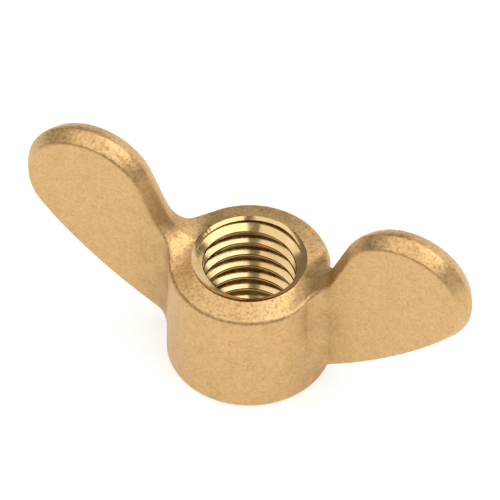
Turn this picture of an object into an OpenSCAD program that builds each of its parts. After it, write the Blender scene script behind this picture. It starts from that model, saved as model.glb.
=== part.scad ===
// Wing nut with rounded wings, in brass.
// The nut is one forged piece with a tapped bore. It is drawn in three zones that
// meet face to face: the hub, and the two wings that grow out of its sides.
// The origin is the centre of the hub's base, the bore runs along Z, and the
// wings reach out along X.

/* [Hub] */
// Diameter of the hub at its base
hub_d = 12.2; // [11.2:0.1:16]
// Height of the hub, from its base to the mouth of the bore
hub_h = 9.5; // [8:0.1:11.5]
// Forging draft of the hub's side, in degrees
hub_draft = 0.95; // [0.2:0.05:2]
// Rise of the sloping crown, from the hub's shoulder to the mouth
crown_rise = 0.5; // [0.2:0.05:0.9]
// Radius of the rounded edge round the base
base_edge_r = 0.4; // [0.1:0.05:0.6]

/* [Thread] */
// Nominal diameter of the thread
thread_d = 8; // [6:0.5:9]
// Pitch of the thread
pitch = 1.25; // [0.75:0.05:1.5]
// Widening of the bore over the thread's basic minor diameter
bore_allow = 0.15; // [0.05:0.05:0.3]
// Widening of the countersink's mouth over the nominal thread
mouth_over = 0.5; // [0.2:0.05:1]
// Depth of the countersinks, which open straight into the thread
sink_h = 0.2; // [0.1:0.05:0.5]

/* [Wings] */
// Span over the tips of both wings
span = 35.6; // [32:0.1:44]
// Height over all, from the base to the tops of the wings
height = 17.5; // [16:0.1:22]
// Radius of each wing's round lobe
lobe_r = 5.2; // [4.4:0.1:6]
// Thickness between the two flat faces of a wing
wing_t = 2.4; // [1.8:0.1:3.6]
// Width of the narrow land left by the parting line, along the middle of a wing's edge
land_w = 0.3; // [0.1:0.05:1]
// Inset of the flat face from the parting line, which the drafted edge slopes across
bevel_w = 0.6; // [0.2:0.05:0.8]
// Radius of the slow bulge of the lower edge
belly_r = 35; // [30:1:200]
// Height at which the lower edge leaves the hub
foot_z = 1.25; // [0.6:0.05:2]
// Distance from the shoulder inwards at which the inner edge aims for the crown
throat_in = 0.4; // [0:0.1:0.6]
// Radius of the blend from the inner edge onto the crown
throat_r = 2.7; // [1.5:0.1:3.2]
// Radius of the fillets between the wing's faces and the hub's side
root_r = 1; // [0.6:0.1:2.4]

/* [Hidden] */
$fn = 96;

// Steps along the round stretches of the wing's outline
belly_steps = 6;
lobe_steps = 40;
throat_steps = 12;

// A fillet is carried this far into the faces it blends, and a sloped edge this far
// past the flat face it ends at, so that they cut cleanly
nip = 0.03;
// Extra height for cuts that pass right through
over = 1;

// Hub
base_r = hub_d / 2;
shoulder_z = hub_h - crown_rise;
shoulder_r = base_r - shoulder_z * tan(hub_draft);
edge_x = base_r - base_edge_r * (1 + sin(hub_draft)) / cos(hub_draft);
edge_top = [edge_x + base_edge_r * cos(hub_draft), base_edge_r * (1 + sin(hub_draft))];

// Thread, with 60 degree flanks, a crest that is a quarter of the pitch before
// the bore is widened, and a root that is an eighth of it
flank = 30;
sharp_h = pitch / 2 / tan(flank);
major_r = thread_d / 2;
bore_r = major_r - sharp_h * 5 / 8 + bore_allow / 2;
mouth_r = (thread_d + mouth_over) / 2;
root_w = pitch / 8;
groove_w = root_w + 2 * (major_r - bore_r) * tan(flank);
crest_w = pitch - groove_w;
end_h = sink_h + (major_r - bore_r) * tan(flank);
turns = floor((hub_h - 2 * end_h - crest_w) / pitch);
first_z = hub_h / 2 - (turns - 1) * pitch / 2;

// Wing outline, in X and Z, for the wing at +X
lobe_c = [span / 2 - lobe_r, height - lobe_r];
foot = [base_r - foot_z * tan(hub_draft), foot_z];
throat_foot = [shoulder_r - throat_in, shoulder_z + throat_in * crown_rise / (shoulder_r - mouth_r)];
crown_a = atan2(crown_rise, shoulder_r - mouth_r);

// The belly is an arc through the foot that runs smoothly into the lobe
foot_to_lobe = lobe_c - foot;
foot_gap = norm(foot_to_lobe);
belly_turn = acos((pow(belly_r, 2) + pow(foot_gap, 2) - pow(belly_r - lobe_r, 2))
                  / (2 * belly_r * foot_gap));
belly_a0 = atan2(foot_to_lobe.y, foot_to_lobe.x) + belly_turn - 180;
belly_c = foot - belly_r * [cos(belly_a0), sin(belly_a0)];
belly_a1 = atan2(lobe_c.y - belly_c.y, lobe_c.x - belly_c.x);

// The inner edge is a straight line from the lobe towards the crown, and the
// throat is the arc that turns it onto the crown
throat_to_lobe = lobe_c - throat_foot;
lobe_gap = norm(throat_to_lobe);
inner_a = atan2(throat_to_lobe.y, throat_to_lobe.x) + asin(lobe_r / lobe_gap);
throat_run = throat_r / tan((180 - crown_a - inner_a) / 2);
line_throat_c = throat_foot + throat_run * [cos(inner_a), sin(inner_a)]
                + throat_r * [-sin(inner_a), cos(inner_a)];

// A lobe that is too close to the crown leaves no straight stretch, and the throat
// then runs from the lobe itself onto the crown
crown_dir = [cos(crown_a), -sin(crown_a)];
crown_up = [sin(crown_a), cos(crown_a)];
lobe_drop = (throat_foot - lobe_c) * crown_up + throat_r;
lobe_throat_c = lobe_c + lobe_drop * crown_up
                - sqrt(pow(lobe_r + throat_r, 2) - pow(lobe_drop, 2)) * crown_dir;

// The throat in use, and the angle at which its arc starts
has_line = sqrt(pow(lobe_gap, 2) - pow(lobe_r, 2)) > throat_run;
throat_c = has_line ? line_throat_c : lobe_throat_c;
lobe_way = lobe_c - throat_c;
throat_a0 = has_line ? inner_a - 90 : atan2(lobe_way.y, lobe_way.x);

// Root fillets, in plan: each circle touches the wing's face and the hub's side
fillet_y = wing_t / 2 + root_r - nip;
fillet_x = sqrt(pow(shoulder_r - nip + root_r, 2) - pow(fillet_y, 2));
root_y = fillet_y * (shoulder_r - nip) / (shoulder_r - nip + root_r);

// Points along an arc
function arc(c, r, a0, a1, steps) =
    [for (i = [0:steps]) let (a = a0 + (a1 - a0) * i / steps) c + r * [cos(a), sin(a)]];

// Outline of a wing, drawn in by the inset, and closed inside the hub
function wing_outline(inset) =
    let (
        belly = arc(belly_c, belly_r - inset, belly_a0, belly_a1, belly_steps),
        lobe = arc(lobe_c, lobe_r - inset, belly_a1, throat_a0 + 180, lobe_steps),
        throat = arc(throat_c, throat_r + inset, throat_a0, -90 - crown_a, throat_steps),
        core_x = throat[throat_steps].x
    )
    concat([[core_x, belly[0].y]], belly, [for (i = [1:lobe_steps]) lobe[i]], throat);

// Section of the hub's outer shape, without the bore
module hub_section() {
    difference() {
        polygon([[0, 0], [base_r, 0], [shoulder_r, shoulder_z], [mouth_r, hub_h], [0, hub_h]]);
        difference() {
            polygon([[edge_x, 0], [base_r, 0], edge_top, [edge_x, base_edge_r]]);
            translate([edge_x, base_edge_r]) circle(base_edge_r);
        }
    }
}

// Section of the bore: each end opens by a countersink and half a groove
module bore_section() {
    polygon([[0, 0], [mouth_r, 0], [major_r, sink_h], [bore_r, end_h],
             [bore_r, hub_h - end_h], [major_r, hub_h - sink_h], [mouth_r, hub_h], [0, hub_h]]);
}

// Section of one groove of the thread
module groove_section() {
    polygon([[0, -groove_w / 2], [bore_r, -groove_w / 2], [major_r, -root_w / 2],
             [major_r, root_w / 2], [bore_r, groove_w / 2], [0, groove_w / 2]]);
}

module hub_outer() {
    rotate_extrude() hub_section();
}

// The way in to the bore, which the throats of the wings stop short of
module mouth_clearance() {
    cylinder(h = height + over, r = mouth_r);
}

// Side form of a wing: its edge slopes both ways from the land to the crease, and
// runs straight across beyond it, where the root is thicker than the blade
module wing_side() {
    crease_y = wing_t / 2 + nip;
    levels = [[-root_y - nip, bevel_w], [-crease_y, bevel_w], [-land_w / 2, 0],
              [land_w / 2, 0], [crease_y, bevel_w], [root_y + nip, bevel_w]];
    count = len(wing_outline(0));
    last = len(levels) - 1;
    points = [for (level = levels) for (p = wing_outline(level[1])) [p.x, level[0], p.y]];
    front = [for (i = [0:count - 1]) count - 1 - i];
    back = [for (i = [0:count - 1]) last * count + i];
    sides = [for (j = [0:last - 1]) for (i = [0:count - 1])
        let (next = (i + 1) % count)
        [j * count + i, j * count + next, (j + 1) * count + next, (j + 1) * count + i]];
    polyhedron(points, concat([front, back], sides));
}

// Plan form of a wing: the blade between its flat faces, and the root that
// flows from those faces into the hub's side
module wing_plan() {
    translate([0, -wing_t / 2, 0]) cube([span, wing_t, height + over]);
    linear_extrude(shoulder_z) difference() {
        translate([0, -root_y]) square([fillet_x, 2 * root_y]);
        for (side = [-1, 1]) translate([fillet_x, side * fillet_y]) circle(root_r);
    }
}

// One wing, at +X, up to the face where it meets the hub
module wing() {
    difference() {
        intersection() {
            wing_side();
            wing_plan();
        }
        hub_outer();
        mouth_clearance();
    }
}

module hub() {
    color("#d8a862") rotate_extrude() difference() {
        hub_section();
        bore_section();
        for (i = [0:turns - 1]) translate([0, first_z + i * pitch]) groove_section();
    }
}

module wing_right() {
    color("#dcb47a") wing();
}

module wing_left() {
    color("#dcb47a") mirror([1, 0, 0]) wing();
}

hub();
wing_left();
wing_right();
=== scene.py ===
"""Looks for the brass wing nut.

The nut is one forging, so one continuous skin stands for the three CAD nodes. Its outer
form is a distance field built from the same sizes as the part, surfaced and moved onto
the field. A helical thread and two countersinks are then cut out of it.
The bore differs from the part's on purpose: its grooves have a wider floor, and its
countersinks go on as a flatter cone than the thread's flank.
Sizes below are in millimetres, and the finished mesh is in metres.
"""

import math

import bmesh
import bpy
import numpy as np
from mathutils import Matrix, Vector


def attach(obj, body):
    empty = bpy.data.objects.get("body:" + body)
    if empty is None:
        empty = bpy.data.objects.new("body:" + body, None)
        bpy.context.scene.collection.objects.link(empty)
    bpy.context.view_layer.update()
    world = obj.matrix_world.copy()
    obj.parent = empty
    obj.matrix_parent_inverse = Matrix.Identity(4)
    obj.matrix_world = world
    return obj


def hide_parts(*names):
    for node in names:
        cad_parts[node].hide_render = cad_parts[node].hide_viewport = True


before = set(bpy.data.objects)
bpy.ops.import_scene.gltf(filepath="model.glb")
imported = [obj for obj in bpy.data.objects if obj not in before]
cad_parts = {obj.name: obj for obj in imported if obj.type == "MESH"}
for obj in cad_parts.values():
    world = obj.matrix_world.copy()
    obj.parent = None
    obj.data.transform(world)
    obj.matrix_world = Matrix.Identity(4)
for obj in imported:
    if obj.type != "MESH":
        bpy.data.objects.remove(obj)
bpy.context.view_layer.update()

MM = 0.001

# Hub, with the sizes of the part
HUB_D = 12.2
HUB_H = 9.5
HUB_DRAFT = math.radians(0.95)
CROWN_RISE = 0.5
BASE_EDGE_R = 0.4

# Thread, with the sizes of the part
THREAD_D = 8.0
PITCH = 1.25
FLANK = math.radians(30)
BORE_ALLOW = 0.15
MOUTH_OVER = 0.5
SINK_H = 0.2

# Looks of the thread: the azimuth the helix starts from, the width of the groove's floor,
# how far its edges are eased, and the number of sides of the bore
THREAD_START = math.radians(188)
ROOT_W = 0.4
CREST_EASE = 0.05
BORE_SIDES = 160

# Inside its bevelled rim, a countersink goes on as a cone that rises by this share of its run,
# and ends this far inside the crests
SINK_SLOPE = 0.42
SINK_PAST = 0.1

# The tips of the bore's cutters reach at least this far past its ends
CUT_PAST = 2

# Wings, with the sizes of the part
SPAN = 35.6
HEIGHT = 17.5
LOBE_R = 5.2
WING_T = 2.4
LAND_W = 0.3
BEVEL_W = 0.6
BELLY_R = 35.0
FOOT_Z = 1.25
THROAT_IN = 0.4
THROAT_R = 2.7
ROOT_R = 1.0

# Roundings of what the part leaves sharp: the hub's shoulder, the creases of the wings,
# the edges of their land, and the corner where their lower edge meets the hub
SHOULDER_EDGE_R = 0.35
CREASE_R = 0.15
RIDGE_R = 0.25
FOOT_R = 0.6

# Skin: how far it lies inside the sizes above, the cells of the grid it is found on, the
# room left at the grid's two ends, and the share of a cell that the grid is shifted by
SKIN_IN = 0.01
CELL = 0.13
ROOM_LOW = 0.6
ROOM_HIGH = 0.3
GRID_SHIFT = 0.37

# Evening out the skin: the number of passes, the share of the way that a vertex moves in
# each, the number of steps back onto the field, and the half step that slopes are taken over
EVEN_PASSES = 4
EVEN_SHARE = 0.5
SNAP_STEPS = 3
PROBE = 0.004

# Edges that turn by more than this are sharp, and the bore's faces start this far up
SHARP_ANGLE = math.radians(20)
BORE_FROM_Z = 0.02

# Places that follow from the sizes
BASE_R = HUB_D / 2
SHOULDER_Z = HUB_H - CROWN_RISE
SHOULDER_R = BASE_R - SHOULDER_Z * math.tan(HUB_DRAFT)
MAJOR_R = THREAD_D / 2
SHARP_H = PITCH / 2 / math.tan(FLANK)
BORE_R = MAJOR_R - SHARP_H * 5 / 8 + BORE_ALLOW / 2
MOUTH_R = (THREAD_D + MOUTH_OVER) / 2
CROWN_A = math.atan2(CROWN_RISE, SHOULDER_R - MOUTH_R)
LOBE_C = np.array([SPAN / 2 - LOBE_R, HEIGHT - LOBE_R])
FOOT = np.array([BASE_R - FOOT_Z * math.tan(HUB_DRAFT), FOOT_Z])
THROAT_FOOT = np.array([SHOULDER_R - THROAT_IN, SHOULDER_Z + THROAT_IN * math.tan(CROWN_A)])


def heading(angle):
    return np.array([math.cos(angle), math.sin(angle)])


def belly_circle():
    """Centre of the arc through the foot that runs smoothly into the lobe, and where it ends."""
    way = LOBE_C - FOOT
    gap = np.linalg.norm(way)
    turn = math.acos((BELLY_R**2 + gap**2 - (BELLY_R - LOBE_R) ** 2) / (2 * BELLY_R * gap))
    centre = FOOT - BELLY_R * heading(math.atan2(way[1], way[0]) + turn - math.pi)
    return centre, math.atan2(LOBE_C[1] - centre[1], LOBE_C[0] - centre[0])


def inner_edge():
    """Angle of the straight inner edge, which runs from the lobe towards the crown."""
    way = LOBE_C - THROAT_FOOT
    return math.atan2(way[1], way[0]) + math.asin(LOBE_R / np.linalg.norm(way))


BELLY_C, BELLY_A1 = belly_circle()
INNER_A = inner_edge()


def round_both(a, b, r):
    """Where both shapes are, with the edge between them rounded."""
    return np.minimum(np.maximum(a, b), -r) + np.hypot(np.maximum(a + r, 0), np.maximum(b + r, 0))


def round_either(a, b, r):
    """Where either shape is, with the corner between them filled."""
    return np.maximum(np.minimum(a, b), r) - np.hypot(np.maximum(r - a, 0), np.maximum(r - b, 0))


def hub_side(rho, z):
    return (rho - BASE_R) * math.cos(HUB_DRAFT) + z * math.sin(HUB_DRAFT)


def crown_line(x, z):
    return (x - SHOULDER_R) * math.sin(CROWN_A) + (z - SHOULDER_Z) * math.cos(CROWN_A)


def belly_rim(x, z):
    return np.hypot(x - BELLY_C[0], z - BELLY_C[1]) - BELLY_R


def blade_rim(x, z):
    """Distance outside a blade in side view: its belly, lobe and straight inner edge."""
    lx, lz = x - LOBE_C[0], z - LOBE_C[1]
    inner = (z - THROAT_FOOT[1]) * math.cos(INNER_A) - (x - THROAT_FOOT[0]) * math.sin(INNER_A)
    past_belly = lz * math.cos(BELLY_A1) - lx * math.sin(BELLY_A1) > 0
    past_inner = lx * math.cos(INNER_A) + lz * math.sin(INNER_A) > 0
    wide = INNER_A + math.pi / 2 - BELLY_A1 > math.pi
    on_lobe = past_belly | past_inner if wide else past_belly & past_inner
    return np.where(on_lobe, np.hypot(lx, lz) - LOBE_R, np.maximum(belly_rim(x, z), inner))


def drafted(rim, y):
    """A rim with its edge drafted both ways from the parting line to the creases."""
    slope = BEVEL_W / (WING_T / 2 - LAND_W / 2)
    draft = (rim + (np.abs(y) - LAND_W / 2) * slope) / math.hypot(1, slope)
    return round_both(draft, rim, RIDGE_R)


def field(x, y, z):
    """Distance outside the nut's outer form, without its bore."""
    rho, out = np.hypot(x, y), np.abs(x)
    side = hub_side(rho, z)
    plan = round_either(side, np.abs(y) - WING_T / 2, ROOT_R)
    top = round_either(crown_line(rho, z), drafted(blade_rim(out, z), y), THROAT_R)
    under = round_either(side, np.maximum(drafted(belly_rim(out, z), y), FOOT_Z - z), FOOT_R)
    away = np.clip((rho - BASE_R) / ROOT_R, 0, 1)
    crown_edge = SHOULDER_EDGE_R + (CREASE_R - SHOULDER_EDGE_R) * away
    nut = round_both(round_both(plan, under, CREASE_R * away), top, crown_edge)
    return round_both(nut, -z, BASE_EDGE_R) + SKIN_IN


def slope_at(p):
    """Unit gradients of the field at points p."""
    step = np.eye(3) * PROBE
    g = np.stack([field(*(p + s).T) - field(*(p - s).T) for s in step], axis=1)
    return g / np.maximum(np.linalg.norm(g, axis=1, keepdims=True), 1e-9)


def grid_axis(low, high):
    """Grid places along one axis, shifted to miss the planes of the nut's flat faces."""
    count = int(math.ceil((high - low) / CELL)) + 1
    return low + CELL * (np.arange(count) + GRID_SHIFT)


def surface_nets():
    """Vertices and quads where the field changes sign on a grid."""
    xs = grid_axis(-SPAN / 2 - ROOM_LOW, SPAN / 2 + ROOM_HIGH)
    ys = grid_axis(-BASE_R - ROOM_LOW, BASE_R + ROOM_HIGH)
    zs = grid_axis(-ROOM_LOW, HEIGHT + ROOM_HIGH)
    f = field(xs[:, None, None], ys[None, :, None], zs[None, None, :])
    inside = f < 0
    corner = np.array([[i, j, k] for i in (0, 1) for j in (0, 1) for k in (0, 1)])
    nx, ny, nz = (n - 1 for n in f.shape)
    count = sum(inside[i : i + nx, j : j + ny, k : k + nz].astype(np.int8) for i, j, k in corner)
    cell = np.argwhere((count > 0) & (count < 8))
    index = np.full((nx, ny, nz), -1, np.int64)
    index[tuple(cell.T)] = np.arange(len(cell))
    values = np.stack([f[tuple((cell + c).T)] for c in corner], axis=1)
    total = np.zeros((len(cell), 3))
    hits = np.zeros(len(cell))
    for a in range(8):
        for b in range(a + 1, 8):
            if np.abs(corner[a] - corner[b]).sum() != 1:
                continue
            cross = (values[:, a] < 0) != (values[:, b] < 0)
            t = values[:, a] / np.where(cross, values[:, a] - values[:, b], 1)
            point = corner[a] + t[:, None] * (corner[b] - corner[a])
            total += np.where(cross[:, None], point, 0)
            hits += cross
    low = np.array([xs[0], ys[0], zs[0]])
    verts = low + CELL * (cell + total / hits[:, None])
    quads = []
    for axis in range(3):
        u, v = [d for d in range(3) if d != axis]
        head = [slice(None)] * 3
        tail = [slice(None)] * 3
        head[axis] = slice(1, None)
        tail[axis] = slice(None, -1)
        start = inside[tuple(tail)]
        change = np.argwhere(start != inside[tuple(head)])
        eu, ev = np.eye(3, dtype=int)[u], np.eye(3, dtype=int)[v]
        quad = np.stack([index[tuple((change - s).T)] for s in (eu + ev, ev, 0 * eu, eu)], axis=1)
        outward = start[tuple(change.T)]
        flip = outward if axis == 1 else ~outward
        quad[flip] = quad[flip][:, ::-1]
        quads.append(quad)
    return verts, np.concatenate(quads)


def relaxed(verts, quads):
    """Vertices evened out along the surface, and moved onto the field."""
    ends = np.concatenate([quads[:, [k, (k + 1) % 4]] for k in range(4)])
    degree = np.bincount(ends[:, 0], minlength=len(verts)) + np.bincount(ends[:, 1], minlength=len(verts))
    for _ in range(EVEN_PASSES):
        near = np.zeros_like(verts)
        for d in range(3):
            near[:, d] += np.bincount(ends[:, 0], verts[ends[:, 1], d], len(verts))
            near[:, d] += np.bincount(ends[:, 1], verts[ends[:, 0], d], len(verts))
        normal = slope_at(verts)
        move = (near / degree[:, None] - verts) * EVEN_SHARE
        move -= (move * normal).sum(1, keepdims=True) * normal
        verts = verts + move
        for _ in range(SNAP_STEPS):
            verts = verts - field(*verts.T)[:, None] * slope_at(verts)
    return verts


def mesh_object(name, verts, faces):
    mesh = bpy.data.meshes.new(name)
    mesh.from_pydata([tuple(v) for v in np.asarray(verts) * MM], [], [tuple(map(int, f)) for f in faces])
    mesh.update()
    thing = bpy.data.objects.new(name, mesh)
    bpy.context.scene.collection.objects.link(thing)
    return thing


def face_outwards(thing):
    made = bmesh.new()
    made.from_mesh(thing.data)
    bmesh.ops.recalc_face_normals(made, faces=made.faces)
    made.to_mesh(thing.data)
    made.free()


def thread_profile():
    """Height and radius along one pitch of the thread, with its edges eased."""
    root = ROOT_W / 2
    crest = root + (MAJOR_R - BORE_R) * math.tan(FLANK)
    ease = CREST_EASE
    rise = ease * math.cos(FLANK)
    half = [
        (crest + ease, BORE_R),
        (crest - ease * 0.5, BORE_R + rise),
        (root + ease * 0.5, MAJOR_R - rise),
        (root - ease * 0.6, MAJOR_R),
    ]
    return [(-h, r) for h, r in half] + [(h, r) for h, r in reversed(half)]


def thread_cutter():
    """A closed helical solid that cuts the threaded bore, right-handed and right through."""
    profile = thread_profile()
    per_turn = len(profile)
    turns = int(math.ceil((HUB_H + 2 * CUT_PAST) / PITCH))
    rows = turns * per_turn
    first = HUB_H - PITCH * math.ceil((HUB_H + CUT_PAST) / PITCH)

    def vertex(side, row):
        angle = 2 * math.pi * side / BORE_SIDES
        h, r = profile[row % per_turn]
        z = first + h + PITCH * (row // per_turn + side / BORE_SIDES)
        return (r * math.cos(angle + THREAD_START), r * math.sin(angle + THREAD_START), z)

    verts = [vertex(0, row) for row in range(rows + per_turn)]
    verts += [vertex(side, row) for side in range(1, BORE_SIDES) for row in range(rows)]

    def at(side, row):
        if side == BORE_SIDES:
            return row + per_turn
        return row if side == 0 else rows + per_turn + (side - 1) * rows + row

    faces = [
        (at(s, r), at(s + 1, r), at(s + 1, r + 1), at(s, r + 1))
        for s in range(BORE_SIDES)
        for r in range(rows - 1)
    ]
    low = [at(s, 0) for s in range(BORE_SIDES)] + [at(0, per_turn - k) for k in range(per_turn)]
    top = [at(s, rows - 1) for s in range(BORE_SIDES)]
    top += [at(0, rows - 1 + per_turn - k) for k in range(per_turn)]
    for loop, z in ((low, first - CUT_PAST / 2), (top, first + turns * PITCH + CUT_PAST)):
        verts.append((0, 0, z))
        faces += [(loop[k], loop[(k + 1) % len(loop)], len(verts) - 1) for k in range(len(loop))]
    thing = mesh_object("thread_cutter", verts, faces)
    face_outwards(thing)
    return thing


def lathe(name, profile):
    """A closed solid turned about the Z axis from (radius, height) points that start and end on it."""
    ring = [p for p in profile if p[0] > 0]
    verts = [
        (r * math.cos(a), r * math.sin(a), z)
        for a in np.arange(BORE_SIDES) * 2 * math.pi / BORE_SIDES
        for r, z in ring
    ]
    n = len(ring)
    faces = []
    for s in range(BORE_SIDES):
        t = (s + 1) % BORE_SIDES
        faces += [(s * n + k, t * n + k, t * n + k + 1, s * n + k + 1) for k in range(n - 1)]
        faces += [(s * n, t * n, len(verts)), (s * n + n - 1, t * n + n - 1, len(verts) + 1)]
    verts += [(0, 0, profile[0][1]), (0, 0, profile[-1][1])]
    thing = mesh_object(name, verts, faces)
    face_outwards(thing)
    return thing


def countersinks():
    """Cutters for the two countersinks: a bevelled rim, and a flatter cone across the crests."""
    inner = BORE_R - SINK_PAST
    deep = SINK_H + (MAJOR_R - inner) * SINK_SLOPE
    low = [(0, -CUT_PAST), (MOUTH_R, -CUT_PAST), (MOUTH_R, SKIN_IN)]
    low += [(MAJOR_R, SINK_H), (inner, deep), (0, deep)]
    high = [(0, HUB_H - deep), (inner, HUB_H - deep), (MAJOR_R, HUB_H - SINK_H)]
    high += [(MOUTH_R, HUB_H), (MOUTH_R, HUB_H + CUT_PAST), (0, HUB_H + CUT_PAST)]
    return lathe("sink_low", low), lathe("sink_high", high)


def cut(thing, cutters):
    """Takes the cutters out of thing, and removes them."""
    kinds = bpy.types.BooleanModifier.bl_rna.properties["solver"].enum_items.keys()
    for cutter in cutters:
        tool = thing.modifiers.new("cut", "BOOLEAN")
        tool.operation = "DIFFERENCE"
        tool.solver = "MANIFOLD" if "MANIFOLD" in kinds else "EXACT"
        tool.object = cutter
    bpy.context.view_layer.update()
    ready = thing.evaluated_get(bpy.context.evaluated_depsgraph_get())
    mesh = bpy.data.meshes.new_from_object(ready)
    thing.modifiers.clear()
    thing.data = mesh
    for cutter in cutters:
        bpy.data.objects.remove(cutter)


def finish_faces(thing):
    """Gives the bore its own material, and every outer corner the field's exact normal."""
    mesh = thing.data
    mesh.polygons.foreach_set("use_smooth", np.ones(len(mesh.polygons), bool))
    mesh.set_sharp_from_angle(angle=SHARP_ANGLE)
    co = np.zeros(len(mesh.vertices) * 3)
    mesh.vertices.foreach_get("co", co)
    co = co.reshape(-1, 3) / MM
    centre = np.zeros(len(mesh.polygons) * 3)
    mesh.polygons.foreach_get("center", centre)
    centre = centre.reshape(-1, 3) / MM
    bore = (np.hypot(centre[:, 0], centre[:, 1]) < MOUTH_R) & (centre[:, 2] > BORE_FROM_Z)
    mesh.polygons.foreach_set("material_index", bore.astype(np.int32))
    corners = np.zeros(len(mesh.loops) * 3)
    mesh.corner_normals.foreach_get("vector", corners)
    corners = corners.reshape(-1, 3)
    at = np.zeros(len(mesh.loops), np.int64)
    mesh.loops.foreach_get("vertex_index", at)
    sizes = np.zeros(len(mesh.polygons), np.int64)
    mesh.polygons.foreach_get("loop_total", sizes)
    outer = ~np.repeat(bore, sizes)
    corners[outer] = slope_at(co)[at][outer]
    mesh.normals_split_custom_set(corners.tolist())


def build_nut():
    """The whole nut. The cut leaves an empty material slot, which is cleared."""
    verts, quads = surface_nets()
    verts = relaxed(verts, quads)
    nut = mesh_object("nut", verts, quads)
    cut(nut, [thread_cutter(), *countersinks()])
    nut.data.materials.clear()
    nut.data.materials.append(forged_brass())
    nut.data.materials.append(cut_brass())
    finish_faces(nut)
    return nut


class Nodes:
    """Short calls for building a material's nodes."""

    def __init__(self, name):
        self.material = bpy.data.materials.new(name)
        self.material.use_nodes = True
        self.tree = self.material.node_tree
        self.shader = self.tree.nodes["Principled BSDF"]
        self.place = self.add("ShaderNodeTexCoord").outputs["Object"]

    def add(self, kind, **values):
        node = self.tree.nodes.new(kind)
        for key, value in values.items():
            setattr(node, key, value)
        return node

    def link(self, out, socket):
        self.tree.links.new(out, socket)

    def noise(self, scale, detail=3.0, rough=0.55):
        node = self.add("ShaderNodeTexNoise")
        node.inputs["Scale"].default_value = scale
        node.inputs["Detail"].default_value = detail
        node.inputs["Roughness"].default_value = rough
        self.link(self.place, node.inputs["Vector"])
        return node.outputs["Fac"]

    def spread(self, value, low, high, to_low, to_high):
        node = self.add("ShaderNodeMapRange")
        node.inputs["From Min"].default_value = low
        node.inputs["From Max"].default_value = high
        node.inputs["To Min"].default_value = to_low
        node.inputs["To Max"].default_value = to_high
        self.link(value, node.inputs["Value"])
        return node.outputs["Result"]

    def mix(self, share, a, b):
        node = self.add("ShaderNodeMix", data_type="RGBA")
        self.link(share, node.inputs[0])
        for socket, value in ((node.inputs[6], a), (node.inputs[7], b)):
            if isinstance(value, tuple):
                socket.default_value = (*value, 1)
            else:
                self.link(value, socket)
        return node.outputs[2]

    def times(self, a, b):
        node = self.add("ShaderNodeMath", operation="MULTIPLY")
        self.link(a, node.inputs[0])
        self.link(b, node.inputs[1])
        return node.outputs[0]

    def bump(self, height, strength, distance, below=None):
        node = self.add("ShaderNodeBump")
        node.inputs["Strength"].default_value = strength
        node.inputs["Distance"].default_value = distance
        self.link(height, node.inputs["Height"])
        if below is not None:
            self.link(below, node.inputs["Normal"])
        return node.outputs["Normal"]


# Colours of the forged skin, of the cut bore, and of the specks and stain
BRASS = (0.70, 0.46, 0.22)
BRASS_DEEP = (0.59, 0.37, 0.155)
BRASS_PALE = (0.76, 0.53, 0.26)
BRASS_CUT = (0.56, 0.41, 0.215)
BRASS_CUT_DEEP = (0.50, 0.34, 0.145)
TARNISH = (0.26, 0.16, 0.07)

# The stain comes in between the first two distances along X, and goes between the others
STAIN_IN = (4.6, 6.2)
STAIN_OUT = (6.6, 9.0)


def root_stain(m):
    """How much stain lies in the hollows where the wings leave the hub."""
    place = m.add("ShaderNodeSeparateXYZ")
    m.link(m.place, place.inputs[0])
    out = m.add("ShaderNodeMath", operation="ABSOLUTE")
    m.link(place.outputs["X"], out.inputs[0])
    rising = m.spread(out.outputs[0], STAIN_IN[0] * MM, STAIN_IN[1] * MM, 0, 1)
    falling = m.spread(out.outputs[0], STAIN_OUT[0] * MM, STAIN_OUT[1] * MM, 1, 0)
    patchy = m.spread(m.noise(500, 5, 0.65), 0.38, 0.62, 0.08, 0.4)
    return m.times(m.times(rising, falling), patchy)


def forged_brass():
    """Forged brass: a fine grain, faint patches, stained hollows, and specks on what faces up."""
    m = Nodes("forged_brass")
    facing = m.add("ShaderNodeSeparateXYZ")
    m.link(m.add("ShaderNodeNewGeometry").outputs["Normal"], facing.inputs[0])
    upward = m.spread(facing.outputs["Z"], 0.25, 0.7, 0, 1)
    patches = m.spread(m.noise(900, 7, 0.75), 0.36, 0.6, 0, 1)
    grain = m.noise(5200, 2)
    colour = m.mix(patches, BRASS_DEEP, BRASS)
    colour = m.mix(m.spread(grain, 0.5, 0.75, 0, 0.6), colour, BRASS_PALE)
    specks = m.spread(m.noise(4200, 5, 0.7), 0.47, 0.64, 0, 1)
    colour = m.mix(m.times(specks, m.spread(upward, 0, 1, 0.26, 0.62)), colour, TARNISH)
    colour = m.mix(root_stain(m), colour, TARNISH)
    m.link(colour, m.shader.inputs["Base Color"])
    m.shader.inputs["Metallic"].default_value = 1.0
    m.link(m.spread(m.noise(900, 3), 0.3, 0.7, 0.38, 0.5), m.shader.inputs["Roughness"])
    coarse = m.bump(m.noise(1500, 3), 0.45, 0.00004)
    m.link(m.bump(grain, 0.75, 0.00003, coarse), m.shader.inputs["Normal"])
    return m.material


def cut_brass():
    """Cut brass in the bore: smoother than the forged skin, and bright."""
    m = Nodes("cut_brass")
    patches = m.spread(m.noise(700, 3), 0.35, 0.65, 0, 1)
    m.link(m.mix(patches, BRASS_CUT_DEEP, BRASS_CUT), m.shader.inputs["Base Color"])
    m.shader.inputs["Metallic"].default_value = 1.0
    m.link(m.spread(m.noise(1500, 2), 0.3, 0.7, 0.1, 0.2), m.shader.inputs["Roughness"])
    m.link(m.bump(m.noise(3000, 2), 0.15, 0.00001), m.shader.inputs["Normal"])
    return m.material


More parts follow.
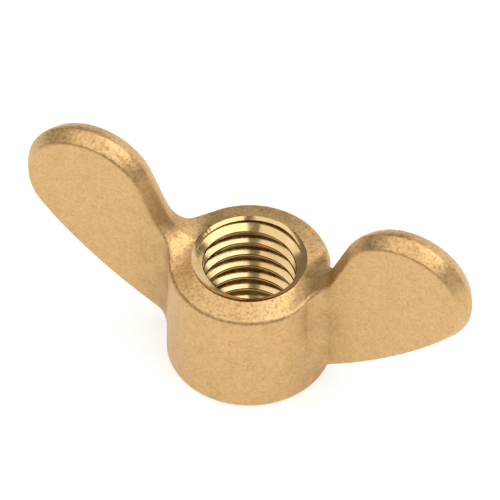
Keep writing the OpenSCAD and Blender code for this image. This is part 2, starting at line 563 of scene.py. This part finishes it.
# Camera: its angles about the nut and the width it frames. The lens is long, but short
# enough that a camera moved round the nut to fit it stays inside its clipping distance.
CAMERA_AZIMUTH = math.radians(24.74)
CAMERA_ELEVATION = math.radians(47.91)
CAMERA_ROLL = math.radians(-0.126)
FRAME_WIDTH = 36.66 * MM
LOOK_UP = 7.010 * MM
LOOK_RIGHT = 0.05 * MM
LENS = 1300.0
SENSOR = 36.0
CLIP = (0.1, 20)


def place_camera():
    a, e = CAMERA_AZIMUTH, CAMERA_ELEVATION
    back = Vector((math.sin(a) * math.cos(e), -math.cos(a) * math.cos(e), math.sin(e)))
    right = Vector((math.cos(a), math.sin(a), 0))
    up = back.cross(right)
    target = up * LOOK_UP + right * LOOK_RIGHT
    data = bpy.data.cameras.new("camera")
    data.lens = LENS
    data.sensor_width = SENSOR
    data.clip_start, data.clip_end = CLIP
    camera = bpy.data.objects.new("camera", data)
    turn = Matrix((right, up, back)).transposed().to_4x4()
    camera.matrix_world = (
        Matrix.Translation(target + back * FRAME_WIDTH * LENS / SENSOR)
        @ turn
        @ Matrix.Rotation(CAMERA_ROLL, 4, "Z")
    )
    bpy.context.scene.collection.objects.link(camera)
    bpy.context.scene.camera = camera


# Floor, in metres: half its side, how far it lies under the nut, and the colour and glow
# that make it render as white
FLOOR_HALF = 1.5
FLOOR_DROP = 0.00002
FLOOR_COLOUR = (0.5, 0.5, 0.49, 1)
FLOOR_GLOW = 0.64


def place_floor():
    half = FLOOR_HALF
    corners = [(-half, -half, 0), (half, -half, 0), (half, half, 0), (-half, half, 0)]
    floor = mesh_object("floor", np.array(corners) / MM, [(0, 1, 2, 3)])
    floor.location.z = -FLOOR_DROP
    material = bpy.data.materials.new("floor_white")
    material.use_nodes = True
    shader = material.node_tree.nodes["Principled BSDF"]
    shader.inputs["Base Color"].default_value = FLOOR_COLOUR
    shader.inputs["Roughness"].default_value = 0.9
    shader.inputs["Specular IOR Level"].default_value = 0.1
    shader.inputs["Emission Color"].default_value = (1, 1, 1, 1)
    shader.inputs["Emission Strength"].default_value = FLOOR_GLOW
    floor.data.materials.append(material)


# Soft boxes, in metres. Two hang level over the nut with a gap between them, and one stands
# low behind it on the right. Places are to the camera's right, away from it, and up.
BOX_SIZE = (0.5, 0.85)
BOX_GAP = 0.12
BOX_ACROSS = (BOX_SIZE[0] + BOX_GAP) / 2
LEFT_PLACE = (-BOX_ACROSS, -0.14, 0.5)
LEFT_POWER = 1.8
RIGHT_PLACE = (BOX_ACROSS, -0.02, 0.5)
RIGHT_POWER = 3.2
SIDE_PLACE = (0.44, 0.5, 0.2)
SIDE_SIZE = (0.6, 0.3)
SIDE_POWER = 0.6
WORLD_COLOUR = (0.34, 0.315, 0.275, 1)


def soft_box(name, place, size, power, aimed=False):
    """A soft box that is level, or is aimed at the nut."""
    data = bpy.data.lights.new(name, "AREA")
    data.shape = "RECTANGLE"
    data.size, data.size_y = size
    data.energy = power
    lamp = bpy.data.objects.new(name, data)
    stand = Matrix.Rotation(CAMERA_AZIMUTH, 4, "Z") @ Matrix.Translation(place)
    if aimed:
        stand = stand @ Vector(place).to_track_quat("Z", "Y").to_matrix().to_4x4()
    lamp.matrix_world = stand
    lamp.visible_camera = False
    bpy.context.scene.collection.objects.link(lamp)


def place_lights():
    soft_box("box_left", LEFT_PLACE, BOX_SIZE, LEFT_POWER)
    soft_box("box_right", RIGHT_PLACE, BOX_SIZE, RIGHT_POWER)
    soft_box("box_side", SIDE_PLACE, SIDE_SIZE, SIDE_POWER, aimed=True)
    world = bpy.data.worlds.new("studio")
    world.use_nodes = True
    world.node_tree.nodes["Background"].inputs["Color"].default_value = WORLD_COLOUR
    bpy.context.scene.world = world
    bpy.context.scene.view_settings.view_transform = "Standard"


nut = build_nut()
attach(nut, "root")
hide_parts("hub", "wing_left", "wing_right")
place_floor()
place_lights()
place_camera()
